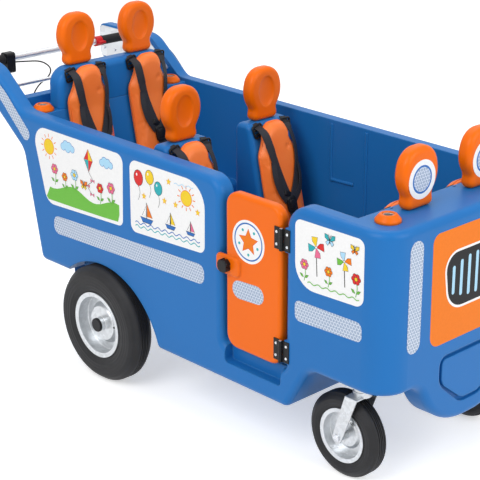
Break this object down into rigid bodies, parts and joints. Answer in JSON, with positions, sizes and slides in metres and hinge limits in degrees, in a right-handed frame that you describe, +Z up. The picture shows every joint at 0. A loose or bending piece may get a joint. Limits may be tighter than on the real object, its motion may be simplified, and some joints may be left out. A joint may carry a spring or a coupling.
{
  "type": "multi seat daycare stroller",
  "caption": "Moulded push bus for small children: open tub with facing seats and harnesses, side door, swivelling front wheels, braked rear wheels, handlebar.",
  "frame": {"origin": "on the floor under the middle of the bounding box", "axes": "+X forwards, towards the nose; +Y to the bus's left; +Z up"},
  "size_m": [2.05, 0.82, 1.118],
  "materials": {
    "tub_plastic": "satin moulded polyethylene, blue",
    "orange_plastic": "satin moulded polyethylene, orange",
    "cushion_vinyl": "soft coated upholstery fabric, orange",
    "webbing": "woven black belt",
    "galvanised_steel": "bright zinc",
    "black_metal": "satin black",
    "black_plastic": "satin black",
    "grip_rubber": "matt black",
    "tyre_rubber": "matt black",
    "red_plastic": "gloss red"
  },
  "bodies": {
    "chassis": {"axle_brackets": "galvanised_steel", "brake_cable": "black_plastic", "brake_lever_perch": "black_plastic", "brake_plates": "galvanised_steel", "canopy_socket_front_left": "orange_plastic", "canopy_socket_front_right": "orange_plastic", "canopy_socket_rear_left": "orange_plastic", "canopy_socket_rear_right": "orange_plastic", "canopy_tubes": "galvanised_steel", "caster_plates": "galvanised_steel", "cross_tube": "galvanised_steel", "front_crossbeam": "galvanised_steel", "grip_left": "grip_rubber", "grip_right": "grip_rubber", "handle_plates": "galvanised_steel", "handlebar": "galvanised_steel", "harness_front": "webbing", "harness_middle": "webbing", "harness_rear": "webbing", "headrest_front_left": "orange_plastic", "headrest_front_right": "orange_plastic", "headrest_middle_left": "orange_plastic", "headrest_middle_right": "orange_plastic", "headrest_rear_left": "orange_plastic", "headrest_rear_right": "orange_plastic", "hinge_frame_leaves": "black_metal", "hinge_pins": "galvanised_steel", "middle_seat_left": "tub_plastic", "middle_seat_right": "tub_plastic", "rear_axle": "galvanised_steel", "rear_backrest": "tub_plastic", "seat_cushion_front_left": "cushion_vinyl", "seat_cushion_front_right": "cushion_vinyl", "seat_cushion_middle_left": "cushion_vinyl", "seat_cushion_middle_right": "cushion_vinyl", "seat_cushion_rear_left": "cushion_vinyl", "seat_cushion_rear_right": "cushion_vinyl", "tub_shell": "tub_plastic"},
    "door": {"door_panel": "orange_plastic", "hinge_door_leaves": "black_metal"},
    "knob": {"door_knob": "black_plastic", "latch_tongue": "galvanised_steel"},
    "brake_lever": {"brake_lever": "black_metal"},
    "parking_latch": {"parking_latch": "red_plastic"},
    "rear_wheel_left": {"rear_rim_left": "galvanised_steel", "rear_tyre_left": "tyre_rubber", "brake_drum_left": "galvanised_steel", "hub_cap_left": "black_plastic"},
    "rear_wheel_right": {"rear_rim_right": "galvanised_steel", "rear_tyre_right": "tyre_rubber", "brake_drum_right": "galvanised_steel", "hub_cap_right": "black_plastic"},
    "caster_left": {"caster_fork_left": "galvanised_steel", "caster_axle_left": "galvanised_steel"},
    "caster_right": {"caster_fork_right": "galvanised_steel", "caster_axle_right": "galvanised_steel"},
    "front_wheel_left": {"caster_rim_left": "galvanised_steel", "caster_tyre_left": "tyre_rubber"},
    "front_wheel_right": {"caster_rim_right": "galvanised_steel", "caster_tyre_right": "tyre_rubber"}
  },
  "joints": [
    {"name": "door_hinge", "type": "hinge", "parent": "chassis", "child": "door", "pos_m": [0.637, -0.38, 0.553], "axis": [0, 0, 1], "range_deg": [0, 110]},
    {"name": "knob_turn", "type": "hinge", "parent": "door", "child": "knob", "pos_m": [0.415, -0.374, 0.565], "axis": [0, -1, 0], "range_deg": [0, 90]},
    {"name": "brake_lever_pull", "type": "hinge", "parent": "chassis", "child": "brake_lever", "pos_m": [-0.875, -0.204, 0.884], "axis": [-1, 0, 0], "range_deg": [0, 14], "stiffness_Nm_per_rad": 2, "springref_deg": -14.32},
    {"name": "parking_latch_turn", "type": "hinge", "parent": "chassis", "child": "parking_latch", "pos_m": [-0.875, 0.187, 0.922], "axis": [0, 1, 0], "range_deg": [0, 35]},
    {"name": "rear_wheel_left_spin", "type": "hinge", "parent": "chassis", "child": "rear_wheel_left", "pos_m": [-0.175, 0.364, 0.194], "axis": [0, 1, 0], "continuous": true},
    {"name": "rear_wheel_right_spin", "type": "hinge", "parent": "chassis", "child": "rear_wheel_right", "pos_m": [-0.175, -0.364, 0.194], "axis": [0, 1, 0], "continuous": true},
    {"name": "caster_left_swivel", "type": "hinge", "parent": "chassis", "child": "caster_left", "pos_m": [0.857, 0.272, 0.28], "axis": [0, 0, 1], "continuous": true},
    {"name": "caster_right_swivel", "type": "hinge", "parent": "chassis", "child": "caster_right", "pos_m": [0.857, -0.272, 0.28], "axis": [0, 0, 1], "continuous": true},
    {"name": "front_wheel_left_spin", "type": "hinge", "parent": "caster_left", "child": "front_wheel_left", "pos_m": [0.807, 0.272, 0.13], "axis": [0, 1, 0], "continuous": true},
    {"name": "front_wheel_right_spin", "type": "hinge", "parent": "caster_right", "child": "front_wheel_right", "pos_m": [0.807, -0.272, 0.13], "axis": [0, 1, 0], "continuous": true}
  ]
}
